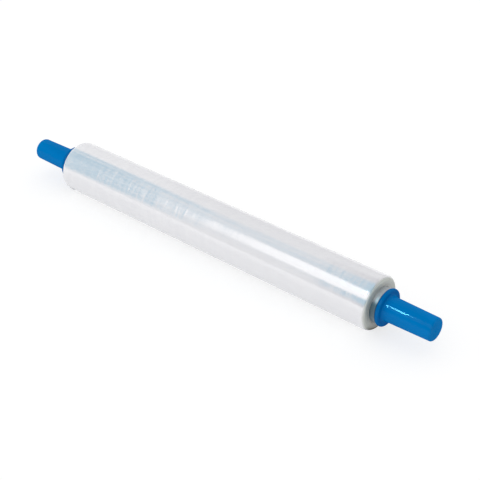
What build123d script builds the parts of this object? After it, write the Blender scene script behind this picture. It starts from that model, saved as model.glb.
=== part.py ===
from build123d import *
import math
import os

# Roll of stretch wrap: clear film wound on a paperboard core, with a hollow moulded
# handle plugged into each end of the core. The hands hold the handles while the core
# turns on their spigots. The roll lies on its side along X, and the origin is on the
# ground under its middle. Sizes are in millimetres.

# Paperboard core
CORE_BORE = 38.0
CORE_WALL = 3.0
CORE_STUB = 7.0             # bare core past the film, if the film were in its middle
CORE_EDGE_BREAK = 0.4       # worn outer edge of the cut ends

# Wound film
FILM_WIDTH = 500.0
FILM_BUILD = 11.9           # depth of the winding on the core
FILM_OFFSET = 0.4           # from the core's middle, towards the right handle
SHOULDER_RADIUS = 5.4       # where the outer turns draw in at each end
TURN_PITCH = 2.3            # ridges that the turns leave on the end faces
TURN_RISE = 0.3
REST_FLAT_WIDTH = 10.0      # where the soft roll lies on the ground

# Spigot of a handle, inside the core
SPIGOT_LENGTH = 70.0
SPIGOT_CLEARANCE = 0.2      # radial, so that the core turns on the spigot
SPIGOT_LEAD = 1.2           # lead-in round the open tip

# Flange and grip of a handle
HANDLE_WALL = 2.2
SEAT_CLEARANCE = 0.3        # between the core's end and the flange
FLANGE_OVERHANG = 1.3       # past the outside of the core
FLANGE_THICKNESS = 5.1
RIM_RADIUS = 2.2
NECK_RADIUS = 3.0
GRIP_LENGTH = 62.6          # from the flange's front to the closed end
GRIP_ROOT_DIAMETER = 30.7
GRIP_END_DIAMETER = 28.6
GRIP_EDGE_RADIUS = 2.6
END_WALL = 2.5

# Rounded corners: the most of the room beside one that it may take up, and its flats
ROUND_LIMIT = 0.9
FLAT_SPAN = 2.0

CORE_BORE_RADIUS = CORE_BORE / 2
CORE_RADIUS = CORE_BORE_RADIUS + CORE_WALL
CORE_LENGTH = FILM_WIDTH + 2 * CORE_STUB
FILM_RADIUS = CORE_RADIUS + FILM_BUILD
AXIS_HEIGHT = math.sqrt(FILM_RADIUS**2 - (REST_FLAT_WIDTH / 2) ** 2)
FLANGE_RADIUS = CORE_RADIUS + FLANGE_OVERHANG
FLANGE_BACK = CORE_LENGTH / 2 + SEAT_CLEARANCE


def rounding(wanted, room):
    """The wanted radius, or as much of it as the room beside it allows."""
    return min(wanted, ROUND_LIMIT * room)


def flats(edge):
    """Start points of the flats that stand for an edge: one if it is straight, several round an arc."""
    count = 1
    if edge.geom_type == GeomType.CIRCLE:
        count = math.ceil(edge.length / FLAT_SPAN)
    return [edge @ (flat / count) for flat in range(count)]


def turned(section):
    """A half section of (along X, radius, corner rounding) points turned about the roll's axis."""
    points = [(x, radius) for x, radius, corner in section]
    corners = [corner for x, radius, corner in section]
    outline = FilletPolyline(*points, radius=corners, close=True)
    edges = outline.wire().order_edges()
    flat_outline = Polyline(*[point for edge in edges for point in flats(edge)], close=True)
    return Pos(0, 0, AXIS_HEIGHT) * revolve(make_face(flat_outline), axis=Axis.X)


def core_tube():
    """A plain paperboard tube, cut square, with worn outer edges."""
    tube = Cylinder(CORE_RADIUS, CORE_LENGTH)
    tube = chamfer(tube.edges().filter_by(GeomType.CIRCLE), CORE_EDGE_BREAK)
    tube -= Cylinder(CORE_BORE_RADIUS, CORE_LENGTH)
    return Pos(0, 0, AXIS_HEIGHT) * Rot(0, 90, 0) * tube


def turn_ridges(side):
    """Points up one end face, from the core to the shoulder: a valley and a crest for each ridge."""
    face_depth = FILM_BUILD - SHOULDER_RADIUS
    count = max(1, round(face_depth / TURN_PITCH))
    pitch = face_depth / count
    crest_x = side * FILM_WIDTH / 2
    valley_x = side * (FILM_WIDTH / 2 - TURN_RISE)
    ridges = []
    for ridge in range(count):
        ridges.append((valley_x, CORE_RADIUS + ridge * pitch, 0))
        ridges.append((crest_x, CORE_RADIUS + (ridge + 0.5) * pitch, 0))
    return ridges


def film_roll():
    """All the turns as one solid: ridged ends, drawn-in shoulders and a small flat below."""
    half_width = FILM_WIDTH / 2
    right_end = turn_ridges(1) + [(half_width, FILM_RADIUS, SHOULDER_RADIUS)]
    left_end = turn_ridges(-1) + [(-half_width, FILM_RADIUS, SHOULDER_RADIUS)]
    section = right_end + left_end[::-1]
    return Pos(FILM_OFFSET, 0, 0) * split(turned(section), bisect_by=Plane.XY, keep=Keep.TOP)


def handle():
    """One hollow moulding: open spigot, round-rimmed flange, flared neck, tapered closed grip."""
    spigot = CORE_BORE_RADIUS - SPIGOT_CLEARANCE
    spigot_bore = spigot - HANDLE_WALL
    grip_root = GRIP_ROOT_DIAMETER / 2
    grip_end = GRIP_END_DIAMETER / 2
    grip_bore = grip_end - HANDLE_WALL
    tip = FLANGE_BACK - SPIGOT_LENGTH
    front = FLANGE_BACK + FLANGE_THICKNESS
    end = front + GRIP_LENGTH
    step = FLANGE_RADIUS - grip_root
    rim = rounding(RIM_RADIUS, min(FLANGE_THICKNESS, step) / 2)
    neck = rounding(NECK_RADIUS, step - rim)
    outside = [
        (tip, spigot - SPIGOT_LEAD, 0),
        (tip + SPIGOT_LEAD, spigot, 0),
        (FLANGE_BACK, spigot, 0),
        (FLANGE_BACK, FLANGE_RADIUS, rim),
        (front, FLANGE_RADIUS, rim),
        (front, grip_root, neck),
        (end, grip_end, rounding(GRIP_EDGE_RADIUS, grip_end)),
        (end, 0, 0),
    ]
    inside = [
        (end - END_WALL, 0, 0),
        (end - END_WALL, grip_bore, 0),
        (front - HANDLE_WALL, grip_bore, 0),
        (front - HANDLE_WALL, spigot_bore, 0),
        (tip, spigot_bore, 0),
    ]
    return turned(outside + inside)


def main():
    os.makedirs("parts", exist_ok=True)
    right_handle = handle()
    nodes = {
        "film_roll": film_roll(),
        "core_tube": core_tube(),
        "right_handle": right_handle,
        "left_handle": mirror(right_handle, about=Plane.YZ),
    }
    for name, solid in nodes.items():
        export_step(solid, f"parts/{name}.step")


main()
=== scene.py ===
import math

import bpy
import numpy as np
from mathutils import Matrix, Vector


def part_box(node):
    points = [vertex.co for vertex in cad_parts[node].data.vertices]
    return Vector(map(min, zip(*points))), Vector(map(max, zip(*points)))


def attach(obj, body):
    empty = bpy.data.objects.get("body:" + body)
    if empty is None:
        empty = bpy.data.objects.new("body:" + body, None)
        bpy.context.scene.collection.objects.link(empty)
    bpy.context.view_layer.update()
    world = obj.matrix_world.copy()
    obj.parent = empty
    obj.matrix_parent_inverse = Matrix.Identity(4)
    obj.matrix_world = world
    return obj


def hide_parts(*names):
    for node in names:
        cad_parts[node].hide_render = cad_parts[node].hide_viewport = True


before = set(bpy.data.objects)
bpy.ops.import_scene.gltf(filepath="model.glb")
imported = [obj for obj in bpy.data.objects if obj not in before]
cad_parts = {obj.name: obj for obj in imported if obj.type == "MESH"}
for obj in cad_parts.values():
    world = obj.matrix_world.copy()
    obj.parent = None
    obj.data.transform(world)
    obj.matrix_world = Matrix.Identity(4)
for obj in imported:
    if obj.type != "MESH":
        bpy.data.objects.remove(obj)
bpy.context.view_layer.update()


# Paperboard core: strips of pale grey board wound in a helix, glued and cut square. The film is
# wound on it, and it turns on the handles' spigots. Only a short stub shows at each end, and the
# near one carries a blue-grey patch of painted shade on its front, which stands for the shadow
# under the film's lip and the blue flange's reflection.
core_low, core_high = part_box("core_tube")
core_end = core_high.x
core_radius = core_high.y
axis_height = (core_low.z + core_high.z) / 2
core_wall = 0.003
core_edge_break = 0.0004
core_around = 128
core_plies = 5
strip_pitch = 0.075
seam_share = 0.018
fibre_grain = 900
blotch_grain = 120
fibre_share = 0.6
board_tones = (0.35, 0.65)
board_colour = (0.46, 0.49, 0.515, 1)
board_shade_colour = (0.36, 0.385, 0.405, 1)
board_seam_colour = (0.16, 0.175, 0.18, 1)
# Painted shade on the near stub's front: its blue-grey colour, and the angles where it fades out
# at the top and the bottom.
stub_painted_shade_colour = (0.055, 0.115, 0.15, 1)
stub_painted_shade_top = (math.radians(46), math.radians(32))
stub_painted_shade_bottom = (math.radians(-80), math.radians(5))
fibre_relief = 0.3
board_relief_strength = 0.5
board_relief_depth = 0.0003
board_roughness = 0.45
board_index = 1.8


def rounded_outline(corners, closed):
    """Outline through corners of (along, radius, rounding, spans). A corner becomes an arc from
    where a circle of its rounding touches the side before it to where it touches the side after
    it: a step s of the turn lies at start + rounding (sin(s) ahead + (1 - cos(s)) inwards).
    Each straight side is then cut into its corner's number of equal spans."""
    arc_steps = 8
    corners = np.asarray(corners, float)
    points, rounding = corners[:, :2], corners[:, 2]
    onward = np.roll(points, -1, axis=0) - points
    onward /= np.linalg.norm(onward, axis=1, keepdims=True)
    before = np.roll(onward, 1, axis=0)
    left = np.column_stack([-before[:, 1], before[:, 0]])
    turn = np.arctan2((left * onward).sum(1), (before * onward).sum(1))
    start = points - before * (rounding * np.tan(np.abs(turn) / 2))[:, None]
    bend = turn[:, None] * np.linspace(0, 1, arc_steps + 1)
    ahead = (rounding[:, None] * np.sin(np.abs(bend)))[..., None] * before[:, None]
    inward = (np.sign(turn) * rounding)[:, None] * (1 - np.cos(bend))
    arcs = start[:, None] + ahead + inward[..., None] * left[:, None]
    spans = np.ones(arcs.shape[:2], int)
    spans[:, -1] = corners[:, 3]
    kept = np.ones(arcs.shape[:2], bool)
    kept[rounding == 0, :-1] = False
    arcs, spans = arcs[kept], spans[kept]
    side = np.roll(arcs, -1, axis=0) - arcs
    if not closed:
        spans[-1] = 1
    first = np.repeat(np.arange(len(arcs)), spans)
    step = np.arange(spans.sum()) - np.repeat(np.cumsum(spans) - spans, spans)
    outline = arcs[first] + side[first] * (step / spans[first])[:, None]
    return outline[:, :1], outline[:, 1:]


def turned(along, radius, around):
    """Rings of points about the roll's axis: (along, radius) goes to (along, -radius cos(a),
    axis height + radius sin(a)) for equal steps of the angle a, from the front over the top."""
    angle = np.arange(around) * (2 * math.pi / around)
    places = (along, -radius * np.cos(angle), axis_height + radius * np.sin(angle))
    return np.stack(np.broadcast_arrays(*places), axis=-1)


def ring_mesh(name, rings, poles=None):
    """Closed surface over rings of points: each ring joins the next by quads. The last ring joins
    the first, or with two poles the first and last rings are closed by fans of triangles."""
    crease_angle = math.radians(40)
    number = np.arange(rings.shape[0] * rings.shape[1]).reshape(rings.shape[:2])
    points = rings.reshape(-1, 3)
    here = number if poles is None else number[:-1]
    there = np.roll(number, -1, axis=0)[: len(here)]
    corners = [here, there, np.roll(there, -1, axis=1), np.roll(here, -1, axis=1)]
    faces = np.stack(corners, axis=-1).reshape(-1, 4).tolist()
    if poles is not None:
        first, last = number[0], number[-1]
        first_pole = np.full_like(first, len(points))
        faces += np.column_stack([first_pole, first, np.roll(first, -1)]).tolist()
        faces += np.column_stack([last, first_pole + 1, np.roll(last, -1)]).tolist()
        points = np.vstack([points, poles])
    mesh = bpy.data.meshes.new(name)
    mesh.from_pydata(points.tolist(), [], faces)
    mesh.shade_smooth()
    mesh.set_sharp_from_angle(angle=crease_angle)
    return mesh


def add_piece(name, mesh, material, body, node):
    """Puts a mesh in the scene as a piece that rides a body and stands for a CAD node."""
    piece = bpy.data.objects.new(name, mesh)
    bpy.context.scene.collection.objects.link(piece)
    mesh.materials.append(material)
    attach(piece, body)
    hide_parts(node)


def add_node(tree, kind, inputs=None, **settings):
    """Adds a shader node. Each input is a value for that socket, or a socket to link to it."""
    made = tree.nodes.new("ShaderNode" + kind)
    for setting, value in settings.items():
        setattr(made, setting, value)
    for socket, value in (inputs or {}).items():
        if isinstance(value, bpy.types.NodeSocket):
            tree.links.new(value, made.inputs[socket])
        else:
            made.inputs[socket].default_value = value
    return made


def new_material(name):
    """A material with its Principled shader: returns the material, its tree and the shader."""
    material = bpy.data.materials.new(name)
    material.use_nodes = True
    return material, material.node_tree, material.node_tree.nodes["Principled BSDF"]


def object_place(tree):
    """The X, Y and Z sockets of a point's Object coordinates."""
    point = add_node(tree, "TexCoord").outputs["Object"]
    return add_node(tree, "SeparateXYZ", {0: point}).outputs


def calculate(tree, operation, *values):
    """The result of a Math node on sockets and numbers."""
    return add_node(tree, "Math", dict(enumerate(values)), operation=operation).outputs[0]


def ramp(tree, value, low, high):
    """A value brought from between low and high to between 0 and 1, with soft ends. It falls
    where low is the larger of the two."""
    inputs = {"Value": value, "From Min": low, "From Max": high}
    return add_node(tree, "MapRange", inputs, interpolation_type="SMOOTHSTEP").outputs[0]


def object_noise(tree, stretch, scale, detail, roughness=0.5):
    """Noise on Object coordinates, with its grain stretched by a scale for each axis."""
    place = add_node(tree, "TexCoord").outputs["Object"]
    moved = add_node(tree, "Mapping", {"Vector": place, "Scale": stretch}).outputs[0]
    inputs = {"Vector": moved, "Scale": scale, "Detail": detail, "Roughness": roughness}
    return add_node(tree, "TexNoise", inputs).outputs["Fac"]


def mix_colours(tree, share, first, second):
    """The colour between two colours at a share from 0 to 1."""
    inputs = {0: share, 6: first, 7: second}
    return add_node(tree, "Mix", inputs, data_type="RGBA").outputs[2]


core_bore = core_radius - core_wall
core_along, core_section_radius = rounded_outline(
    [
        (-core_end, core_bore, 0, core_plies),
        (-core_end, core_radius, core_edge_break, 1),
        (core_end, core_radius, core_edge_break, core_plies),
        (core_end, core_bore, 0, 1),
    ],
    closed=True,
)
core_mesh = ring_mesh("core_board", turned(core_along, core_section_radius, core_around))

board, tree, shader = new_material("core_board")
x, y, z = object_place(tree)
height = calculate(tree, "SUBTRACT", z, axis_height)
turns = calculate(tree, "DIVIDE", calculate(tree, "ARCTAN2", height, y), 2 * math.pi)
along_helix = calculate(tree, "ADD", calculate(tree, "DIVIDE", x, strip_pitch), turns)
from_strip_edge = calculate(tree, "PINGPONG", along_helix, 0.5)
seam = ramp(tree, from_strip_edge, seam_share, 0)
fibres = object_noise(tree, (1, 1, 1), fibre_grain, detail=4)
blotches = object_noise(tree, (1, 1, 1), blotch_grain, detail=2)
tone = calculate(tree, "MULTIPLY", blotches, 1 - fibre_share)
tone = calculate(tree, "MULTIPLY_ADD", fibres, fibre_share, tone)
colour = mix_colours(tree, ramp(tree, tone, *board_tones), board_shade_colour, board_colour)
colour = mix_colours(tree, seam, colour, board_seam_colour)
# Painted shade and reflection: the near stub's front is darkened to a blue-grey where the film's
# lip shades it and the blue flange reflects in it.
front_angle = calculate(tree, "ARCTAN2", height, calculate(tree, "MULTIPLY", y, -1))
below_top = ramp(tree, front_angle, *stub_painted_shade_top)
stub_painted_shade = calculate(tree, "MULTIPLY", below_top, ramp(tree, front_angle, *stub_painted_shade_bottom))
stub_painted_shade = calculate(tree, "MULTIPLY", stub_painted_shade, ramp(tree, x, 0, core_end))
colour = mix_colours(tree, stub_painted_shade, colour, stub_painted_shade_colour)
relief = calculate(tree, "SUBTRACT", calculate(tree, "MULTIPLY", fibres, fibre_relief), seam)
bump_inputs = {"Strength": board_relief_strength, "Distance": board_relief_depth}
bump = add_node(tree, "Bump", {**bump_inputs, "Height": relief})
tree.links.new(colour, shader.inputs["Base Color"])
tree.links.new(bump.outputs[0], shader.inputs["Normal"])
shader.inputs["Roughness"].default_value = board_roughness
shader.inputs["IOR"].default_value = board_index
add_piece("paper_core", core_mesh, board, "roll", "core_tube")


# Wound film: about a hundred metres of clear stretch film, drawn tight on the core by a winder.
# Its turns cling to each other and look like one milky, glossy body. The far half is looser, with
# ripples round it, and the outer turns draw in at the ends, where their edges show grey. The end
# faces carry painted shade, a little darker towards the core, and near the floor a painted contact
# shade with a dusty brown tint.
film_low, film_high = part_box("film_roll")
film_middle = (film_low.x + film_high.x) / 2
film_half = film_high.x - film_middle
film_radius = film_high.y
shoulder = 0.0054
film_spans = 520
film_end_spans = 26
film_around = 168
ripple_near = 0.000006
ripple_far = 0.000018
ripple_change = (0.07, -0.09)
ripple_patchiness = 0.2
band_height = 0.00004
end_margin = 1e-6
turn_edge_depth = 0.0003
turn_edge_limit = 1.5
tail_angle = math.radians(215)
tail_wander = math.radians(1.2)
tail_step = 0.00008
edge_fade = 0.5
cloud_stretch = (1, 0.45, 0.45)
cloud_grain = 110
cloud_roughness = 0.6
haze_clouds = (0.38, 0.68)
haze_share = 0.25
haze_loose_share = 0.55
film_colour = (0.775, 0.775, 0.81, 1)
film_haze_colour = (0.815, 0.815, 0.845, 1)
film_edge_colour = (0.37, 0.40, 0.345, 1)
# Painted shade: the end faces are a little darker towards the core.
film_edge_shade_colour = (0.33, 0.35, 0.305, 1)
# Painted contact shade with a dusty brown tint on the end faces near the floor, and the heights
# where it fades in.
film_dust_and_shade_colour = (0.16, 0.155, 0.105, 1)
dust_and_shade_heights = (0.018, 0.004)
gloss_clouds = (0.3, 0.8)
film_roughness = 0.05
film_cloud_roughness = 0.05
film_end_roughness = 0.35
fine_stretch = (1, 0.25, 0.25)
fine_grain = 520
film_relief_strength = 0.10
film_relief_depth = 0.0004
film_index = 3.7
film_glow_depth = 0.012


def soft_bumps(rows, around, row_blur, around_blur, seed):
    """Soft bumps over a grid: seeded random heights blurred by a bell curve, with a spread of one.
    The blur multiplies their Fourier transform by exp(-2 (pi f width)^2) each way, so that the
    bumps meet without a seam round the roll."""
    heights = np.random.default_rng(seed).standard_normal((rows, around))
    row_bell = np.exp(-2 * (math.pi * np.fft.fftfreq(rows) * row_blur) ** 2)
    around_bell = np.exp(-2 * (math.pi * np.fft.fftfreq(around) * around_blur) ** 2)
    bumps = np.fft.ifft2(np.fft.fft2(heights) * np.outer(row_bell, around_bell)).real
    return bumps / bumps.std()


def smooth_step(value, low, high):
    """0 on low's side, 1 on high's side, and 3 s^2 - 2 s^3 for a share s of the way between."""
    share = np.clip((value - low) / (high - low), 0, 1)
    return share**2 * (3 - 2 * share)


film_along, film_section_radius = rounded_outline(
    [
        (-film_half, core_radius, 0, film_end_spans),
        (-film_half, film_radius, shoulder, film_spans),
        (film_half, film_radius, shoulder, film_end_spans),
        (film_half, core_radius, 0, 1),
    ],
    closed=True,
)
film_rows = len(film_along)
film_grid = (film_rows, film_around)
on_outside = np.clip((film_section_radius - (film_radius - shoulder)) / shoulder, 0, 1)
ripples = soft_bumps(*film_grid, row_blur=0.9, around_blur=6, seed=11)
ripples += soft_bumps(*film_grid, row_blur=1.7, around_blur=4, seed=17)
patches = 1 + ripple_patchiness * soft_bumps(*film_grid, row_blur=14, around_blur=12, seed=4)
bands = soft_bumps(*film_grid, row_blur=10, around_blur=60, seed=5)
looseness = smooth_step(film_along, *ripple_change)
ripple_height = ripple_near + (ripple_far - ripple_near) * looseness
film_angle = np.arange(film_around) * (2 * math.pi / film_around)
tail_bends = soft_bumps(film_rows, 1, row_blur=25, around_blur=0, seed=6)
tail_edge = tail_angle + tail_wander * tail_bends
last_turn = np.mod(film_angle - tail_edge, 2 * math.pi) / (2 * math.pi)
raised = ripples * patches * ripple_height + bands * band_height - tail_step * last_turn
film_place_radius = film_section_radius + on_outside * raised
on_end = np.abs(film_along) > film_half - end_margin
turn_edges = np.abs(soft_bumps(film_rows, 1, row_blur=0.8, around_blur=0, seed=8))
turn_edges = np.minimum(turn_edges, turn_edge_limit) / turn_edge_limit * turn_edge_depth
film_place_along = film_middle + film_along - np.sign(film_along) * on_end * turn_edges
film_rings = turned(film_place_along, film_place_radius, film_around)
film_rings[..., 2] = np.maximum(film_rings[..., 2], film_low.z)
film_mesh = ring_mesh("film_turns", film_rings)
end_share = np.broadcast_to(smooth_step(1 - on_outside, 0, edge_fade), film_grid)
end_attribute = film_mesh.attributes.new("end_share", "FLOAT", "POINT")
end_attribute.data.foreach_set("value", end_share.ravel())

film, tree, shader = new_material("clear_stretch_film")
x, y, z = object_place(tree)
clouds = object_noise(tree, cloud_stretch, cloud_grain, detail=3, roughness=cloud_roughness)
loose = ramp(tree, x, *ripple_change)
haze = calculate(tree, "MULTIPLY_ADD", loose, haze_loose_share, haze_share)
haze = calculate(tree, "MULTIPLY", ramp(tree, clouds, *haze_clouds), haze)
colour = mix_colours(tree, haze, film_colour, film_haze_colour)
height = calculate(tree, "SUBTRACT", z, axis_height)
radial = add_node(tree, "CombineXYZ", {"Y": y, "Z": height}).outputs[0]
from_axis = add_node(tree, "VectorMath", {0: radial}, operation="LENGTH").outputs["Value"]
# Painted shade: each end face darkens a little from its outer part towards the core.
outer_share = ramp(tree, from_axis, core_radius, film_radius - shoulder)
edge_colour = mix_colours(tree, outer_share, film_edge_shade_colour, film_edge_colour)
# Painted contact shade with a dusty tint: the end faces darken and turn brown towards the floor.
dust_and_shade = ramp(tree, z, *dust_and_shade_heights)
edge_colour = mix_colours(tree, dust_and_shade, edge_colour, film_dust_and_shade_colour)
end_mask = add_node(tree, "Attribute", attribute_name="end_share").outputs["Fac"]
colour = mix_colours(tree, end_mask, colour, edge_colour)
dull = ramp(tree, clouds, *gloss_clouds)
dull = calculate(tree, "MULTIPLY_ADD", dull, film_cloud_roughness, film_roughness)
dull = calculate(tree, "MULTIPLY_ADD", end_mask, film_end_roughness, dull)
fine = object_noise(tree, fine_stretch, fine_grain, detail=2)
bump_inputs = {"Strength": film_relief_strength, "Distance": film_relief_depth}
bump = add_node(tree, "Bump", {**bump_inputs, "Height": fine})
tree.links.new(colour, shader.inputs["Base Color"])
tree.links.new(dull, shader.inputs["Roughness"])
tree.links.new(bump.outputs[0], shader.inputs["Normal"])
shader.inputs["IOR"].default_value = film_index
shader.inputs["Subsurface Weight"].default_value = 1
shader.inputs["Subsurface Radius"].default_value = (1, 1, 1)
shader.inputs["Subsurface Scale"].default_value = film_glow_depth
add_piece("wound_film", film_mesh, film, "roll", "film_roll")


# Handles: one hollow moulding in blue plastic at each end, closed at the grip and open at the
# spigot. The spigot is pushed into the core as far as the flange, and the core turns on it.
right_low, right_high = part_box("right_handle")
spigot_tip = right_low.x
grip_end = right_high.x
flange_radius = right_high.y
seat_clearance = 0.0003
seat_rounding = 0.0003
spigot_clearance = 0.0002
spigot_lead = 0.0012
handle_wall = 0.0022
end_wall = 0.0025
bore_end_rounding = 0.001
bore_mouth_rounding = 0.0004
bore_step_rounding = 0.0006
flange_thickness = 0.0051
rim_rounding = 0.0022
neck_rounding = 0.003
grip_root_radius = 0.01535
grip_end_radius = 0.0143
grip_edge_rounding = 0.0026
sink_length = 0.012
sink_place = 0.0078
sink_width = 0.0009
sink_depth = 0.00003
gate_radius = 0.0022
gate_depth = 0.0003
gate_edge_rounding = 0.0002
gate_floor_rounding = 0.0001
handle_around = 192
flow_stretch = (0.25, 1, 1)
flow_grain = 60
flow_tones = (0.3, 0.7)
handle_colour = (0.0, 0.196, 0.55, 1)
handle_deep_colour = (0.0, 0.178, 0.50, 1)
# The flange and spigot are a deeper blue than the grip.
handle_flange_colour = (0.0, 0.142, 0.425, 1)
flange_colour_margin = 0.001
handle_roughness = 0.3
handle_flow_roughness = 0.2
skin_grain = 1400
skin_relief_strength = 0.05
skin_relief_depth = 0.0002
skin_weight = 0.025
skin_index = 2.5
skin_roughness = 0.04

spigot_radius = core_bore - spigot_clearance
spigot_bore = spigot_radius - handle_wall
grip_bore = grip_end_radius - handle_wall
flange_back = core_end + seat_clearance
flange_front = flange_back + flange_thickness
bore_step = flange_front - handle_wall
grip_ends = (0, grip_end - flange_front)
sink_end_radius = np.interp(sink_length, grip_ends, (grip_root_radius, grip_end_radius))
handle_along, handle_radius = rounded_outline(
    [
        (grip_end - end_wall, 0, 0, 4),
        (grip_end - end_wall, grip_bore, bore_end_rounding, 8),
        (bore_step, grip_bore, bore_mouth_rounding, 2),
        (bore_step, spigot_bore, bore_step_rounding, 8),
        (spigot_tip, spigot_bore, 0, 1),
        (spigot_tip, spigot_radius - spigot_lead, 0, 1),
        (spigot_tip + spigot_lead, spigot_radius, 0, 8),
        (flange_back, spigot_radius, seat_rounding, 2),
        (flange_back, flange_radius, rim_rounding, 12),
        (flange_front, flange_radius, rim_rounding, 4),
        (flange_front, grip_root_radius, neck_rounding, 30),
        (flange_front + sink_length, sink_end_radius, 0, 20),
        (grip_end, grip_end_radius, grip_edge_rounding, 10),
        (grip_end, gate_radius, gate_edge_rounding, 1),
        (grip_end - gate_depth, gate_radius - gate_depth, gate_floor_rounding, 3),
        (grip_end - gate_depth, 0, 0, 1),
    ],
    closed=False,
)
from_sink = (handle_along - (flange_front + sink_place)) / sink_width
handle_radius -= (handle_radius > grip_bore) * sink_depth * np.exp(-(from_sink**2))

plastic, tree, shader = new_material("blue_handle_plastic")
flow = object_noise(tree, flow_stretch, flow_grain, detail=2)
colour = mix_colours(tree, ramp(tree, flow, *flow_tones), handle_deep_colour, handle_colour)
from_middle = calculate(tree, "ABSOLUTE", object_place(tree)["X"])
# The flange and spigot take the deeper blue, which fades out along the neck.
flange_colour_ends = (flange_front + neck_rounding, flange_front - flange_colour_margin)
flange_colour_share = ramp(tree, from_middle, *flange_colour_ends)
colour = mix_colours(tree, flange_colour_share, colour, handle_flange_colour)
dull = calculate(tree, "MULTIPLY_ADD", flow, handle_flow_roughness, handle_roughness)
grain = object_noise(tree, (1, 1, 1), skin_grain, detail=2)
bump_inputs = {"Strength": skin_relief_strength, "Distance": skin_relief_depth}
bump = add_node(tree, "Bump", {**bump_inputs, "Height": grain})
tree.links.new(colour, shader.inputs["Base Color"])
tree.links.new(dull, shader.inputs["Roughness"])
tree.links.new(bump.outputs[0], shader.inputs["Normal"])
shader.inputs["Specular IOR Level"].default_value = 0
shader.inputs["Coat Weight"].default_value = skin_weight
shader.inputs["Coat IOR"].default_value = skin_index
shader.inputs["Coat Roughness"].default_value = skin_roughness

for name, side in (("right_handle", 1), ("left_handle", -1)):
    handle_poles = [(side * handle_along[end, 0], 0, axis_height) for end in (0, -1)][::side]
    handle_rings = turned(side * handle_along[1:-1], handle_radius[1:-1], handle_around)[::side]
    handle_mesh = ring_mesh(name + "_moulding", handle_rings, handle_poles)
    add_piece(name + "_moulding", handle_mesh, plastic, name, name)


# Floor: a plain white sweep. It shows as white to the camera and in reflections, and keeps the
# roll's soft shadow. In reflections it carries a painted shadow under the bare core beside the
# film's ends, and painted light a little brighter than white away from the roll.
floor_half = 12.0
floor_colour = (0.9, 0.9, 0.9, 1)
floor_shown_colour = (0.38, 0.38, 0.38, 1)
floor_glow = 0.68
# Painted shadow and light in reflections: where the floor is darkened beside the film's ends, and
# how much brighter it is away from the roll.
floor_shade_places = (0.266, 0.250)
floor_shade_starts = (0.250, 0.245)
floor_shade_sides = (0.03, 0.012)
floor_shade_loss = 0.9
floor_open_sides = (0.08, 0.24)
floor_open_gain = 0.12

floor_mesh = bpy.data.meshes.new("floor")
floor_corners = np.array([(-1, -1, 0), (1, -1, 0), (1, 1, 0), (-1, 1, 0)]) * floor_half
floor_mesh.from_pydata(floor_corners.tolist(), [], [(0, 1, 2, 3)])
floor = bpy.data.objects.new("floor", floor_mesh)
bpy.context.scene.collection.objects.link(floor)

sweep, tree, shader = new_material("white_sweep")
floor_mesh.materials.append(sweep)
rays = add_node(tree, "LightPath").outputs
mirrored = calculate(tree, "MAXIMUM", rays["Is Glossy Ray"], rays["Is Transmission Ray"])
colour = mix_colours(tree, rays["Is Camera Ray"], floor_colour, floor_shown_colour)
colour = mix_colours(tree, mirrored, colour, (0, 0, 0, 1))
place = object_place(tree)
along = calculate(tree, "ABSOLUTE", place["X"])
aside = calculate(tree, "ABSOLUTE", place["Y"])
# Painted shadow and light, seen only in reflections: darker beside the film's ends, brighter away
# from the roll.
under_film = ramp(tree, along, *floor_shade_starts)
shade = calculate(tree, "SUBTRACT", ramp(tree, along, *floor_shade_places), under_film)
shade = calculate(tree, "MULTIPLY", shade, ramp(tree, aside, *floor_shade_sides))
shown = calculate(tree, "MULTIPLY_ADD", shade, -floor_shade_loss, 1)
open_share = ramp(tree, aside, *floor_open_sides)
shown = calculate(tree, "MULTIPLY_ADD", open_share, floor_open_gain, shown)
glow = calculate(tree, "MULTIPLY", rays["Is Camera Ray"], floor_glow)
glow = calculate(tree, "MULTIPLY_ADD", mirrored, shown, glow)
tree.links.new(colour, shader.inputs["Base Color"])
tree.links.new(glow, shader.inputs["Emission Strength"])
shader.inputs["Emission Color"].default_value = (1, 1, 1, 1)
shader.inputs["Roughness"].default_value = 1
shader.inputs["Specular IOR Level"].default_value = 0


# Studio: a white dome that gives soft, even light, darker towards the near end. Reflections show
# it with a blue-grey wall on the camera's side and a long soft box on that wall, and a narrow
# strip light gives the near grip its highlight.
dome_level = 0.95
dome_near_level = 0.53
dome_near_reach = (0, 1)
dome_front_level = 1.22
dome_front_reach = (0.2, 1)
dome_shown_level = 0.87
dome_shown_leans = (0.66, 0.86)
gloom_colour = (0.5, 0.5, 0.52, 1)
gloom_leans = (0.56, 0.48)
gloom_top = math.radians(132)
wall_colour = (0.0, 0.38, 0.60, 1)
wall_elevations = (math.radians(10.5), math.radians(105))
wall_blur = math.radians(8)
wall_mid_share = 0.24
wall_near_leans = (0.54, 0.503)
wall_far_leans = (0.66, 0.94)
wall_far_drop = math.radians(8.5)
wall_low_loss = 0.22
wall_low_elevations = (math.radians(40), math.radians(24))
wall_mottle = 0.95
wall_mottle_scale = (16, 4)
wall_mottle_tones = (0.27, 0.67)
box_colour = (1.46, 1.46, 1.46, 1)
box_leans = (0.80, 0.62)
box_far_share = 0.11
box_elevation = math.radians(48.5)
box_half = math.radians(17)
box_taper = math.radians(4)
box_taper_leans = (0.58, 0.74)
box_blur = math.radians(5)
box_far_blur = math.radians(16)
strip_distance = 2.0
strip_elevation = math.radians(54)
strip_height = 0.5
strip_ends = (-0.597, -0.513)
strip_radiance = 170.0
strip_colour = (0.17, 0.78, 1.0)


def grey(level):
    """A neutral colour of one level."""
    return (level, level, level, 1)


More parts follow.
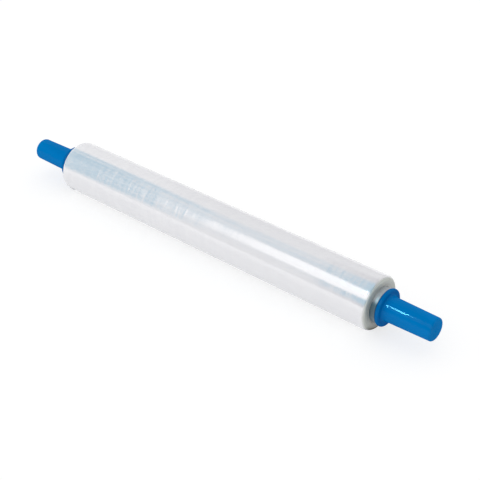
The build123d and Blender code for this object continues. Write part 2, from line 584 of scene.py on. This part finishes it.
world = bpy.data.worlds.new("studio")
bpy.context.scene.world = world
world.use_nodes = True
tree = world.node_tree
direction = add_node(tree, "TexCoord").outputs["Generated"]
x, y, z = add_node(tree, "SeparateXYZ", {0: direction}).outputs
forward = calculate(tree, "MULTIPLY", y, -1)
elevation = calculate(tree, "ARCTAN2", z, forward)
squares = calculate(tree, "ADD", calculate(tree, "POWER", y, 2), calculate(tree, "POWER", z, 2))
backward = calculate(tree, "MULTIPLY", x, -1)
lean = calculate(tree, "DIVIDE", backward, calculate(tree, "SQRT", squares))

# The wall is full at the near and far ends and thin between them, with a soft mottle.
beside_near = ramp(tree, lean, *wall_near_leans)
beside_far = ramp(tree, lean, *wall_far_leans)
beside = calculate(tree, "MAXIMUM", beside_far, beside_near)
wall_share = calculate(tree, "MULTIPLY_ADD", beside, 1 - wall_mid_share, wall_mid_share)
off_near = calculate(tree, "SUBTRACT", 1, beside_near)
low_part = calculate(tree, "MULTIPLY", ramp(tree, elevation, *wall_low_elevations), off_near)
wall_share = calculate(tree, "MULTIPLY_ADD", low_part, -wall_low_loss, wall_share)
mottle_along = calculate(tree, "MULTIPLY", lean, wall_mottle_scale[0])
mottle_up = calculate(tree, "MULTIPLY", elevation, wall_mottle_scale[1])
mottle_place = add_node(tree, "CombineXYZ", {"X": mottle_along, "Y": mottle_up}).outputs[0]
mottle_inputs = {"Vector": mottle_place, "Scale": 1, "Detail": 2}
mottle = add_node(tree, "TexNoise", mottle_inputs).outputs["Fac"]
mottle_tones = {"From Min": wall_mottle_tones[0], "From Max": wall_mottle_tones[1]}
mottle_shares = {"To Min": 1 - wall_mottle, "To Max": 1 + wall_mottle}
mottle = add_node(tree, "MapRange", {"Value": mottle, **mottle_tones, **mottle_shares}).outputs[0]
wall_share = calculate(tree, "MINIMUM", calculate(tree, "MULTIPLY", wall_share, mottle), 1)
wall_share = calculate(tree, "MAXIMUM", wall_share, beside_near)
wall_low, wall_top = wall_elevations
low_edge = calculate(tree, "MULTIPLY_ADD", beside_far, wall_far_drop, elevation)
over_low = ramp(tree, low_edge, wall_low - wall_blur, wall_low + wall_blur)
under_top = ramp(tree, elevation, wall_top + wall_blur, wall_top - wall_blur)
in_wall = calculate(tree, "MULTIPLY", calculate(tree, "MULTIPLY", over_low, under_top), wall_share)

# The soft box narrows, blurs and fades towards the far end.
box_share = ramp(tree, lean, *box_leans)
box_share = calculate(tree, "MULTIPLY_ADD", box_share, 1 - box_far_share, box_far_share)
narrowing = ramp(tree, lean, *box_taper_leans)
off_box = calculate(tree, "ABSOLUTE", calculate(tree, "SUBTRACT", elevation, box_elevation))
off_box = calculate(tree, "MULTIPLY_ADD", narrowing, box_taper, off_box)
edge_blur = calculate(tree, "MULTIPLY_ADD", narrowing, box_far_blur - box_blur, box_blur)
box_outside = calculate(tree, "ADD", edge_blur, box_half)
box_inside = calculate(tree, "SUBTRACT", box_half, edge_blur)
in_box = calculate(tree, "MULTIPLY", ramp(tree, off_box, box_outside, box_inside), box_share)

gloom_below = ramp(tree, elevation, gloom_top + wall_blur, gloom_top - wall_blur)
in_gloom = calculate(tree, "MULTIPLY", ramp(tree, lean, *gloom_leans), gloom_below)
towards_far = ramp(tree, lean, *dome_shown_leans)
shown_studio = mix_colours(tree, towards_far, grey(dome_shown_level), grey(1))
shown_studio = mix_colours(tree, in_gloom, shown_studio, gloom_colour)
shown_studio = mix_colours(tree, in_wall, shown_studio, wall_colour)
shown_studio = mix_colours(tree, in_box, shown_studio, box_colour)
front_share = ramp(tree, forward, *dome_front_reach)
light = mix_colours(tree, front_share, grey(dome_level), grey(dome_front_level))
near_share = ramp(tree, x, *dome_near_reach)
light = mix_colours(tree, near_share, light, grey(dome_near_level))
rays = add_node(tree, "LightPath").outputs
light = mix_colours(tree, rays["Is Glossy Ray"], light, shown_studio)
light = mix_colours(tree, rays["Is Camera Ray"], light, grey(1))
tree.links.new(light, tree.nodes["Background"].inputs["Color"])

strip_data = bpy.data.lights.new("strip_light", "AREA")
strip_data.shape = "RECTANGLE"
strip_data.size = strip_ends[1] - strip_ends[0]
strip_data.size_y = strip_height
strip_data.energy = strip_radiance * math.pi * strip_data.size * strip_data.size_y
strip_data.color = strip_colour
strip_light = bpy.data.objects.new("strip_light", strip_data)
strip_light.visible_diffuse = False
bpy.context.scene.collection.objects.link(strip_light)
to_strip = Vector((0, -math.cos(strip_elevation), math.sin(strip_elevation)))
strip_foot = Vector((sum(strip_ends) / 2, 0, axis_height))
strip_light.location = strip_foot + to_strip * strip_distance
strip_light.rotation_euler = (math.pi / 2 - strip_elevation, 0, 0)


# Camera: it looks down on the roll from the near end, as the photograph does. Its lens and place
# come from a fit to the photograph's outline, and are given in the pixels of its square picture.
image_side = 480
focal_pixels = 1143.56
roll_centre_pixel = (215.71, 228.08)
view_azimuth = math.radians(40.63)
view_elevation = math.radians(32.69)
view_distance = 1.4366
sensor_width = 36.0

camera_data = bpy.data.cameras.new("camera")
camera_data.sensor_width = sensor_width
camera_data.lens = sensor_width * focal_pixels / image_side
camera = bpy.data.objects.new("camera", camera_data)
bpy.context.scene.collection.objects.link(camera)
bpy.context.scene.camera = camera
tilt = Matrix.Rotation(math.pi / 2 - view_elevation, 3, "X")
turn_view = Matrix.Rotation(view_azimuth, 3, "Z") @ tilt
pixel_size = view_distance / focal_pixels
off_right = (roll_centre_pixel[0] - image_side / 2) * pixel_size
off_up = (image_side / 2 - roll_centre_pixel[1]) * pixel_size
roll_centre = Vector((0, 0, axis_height))
camera.location = roll_centre + turn_view @ Vector((-off_right, -off_up, view_distance))
camera.rotation_euler = turn_view.to_euler()

bpy.context.scene.view_settings.view_transform = "Standard"
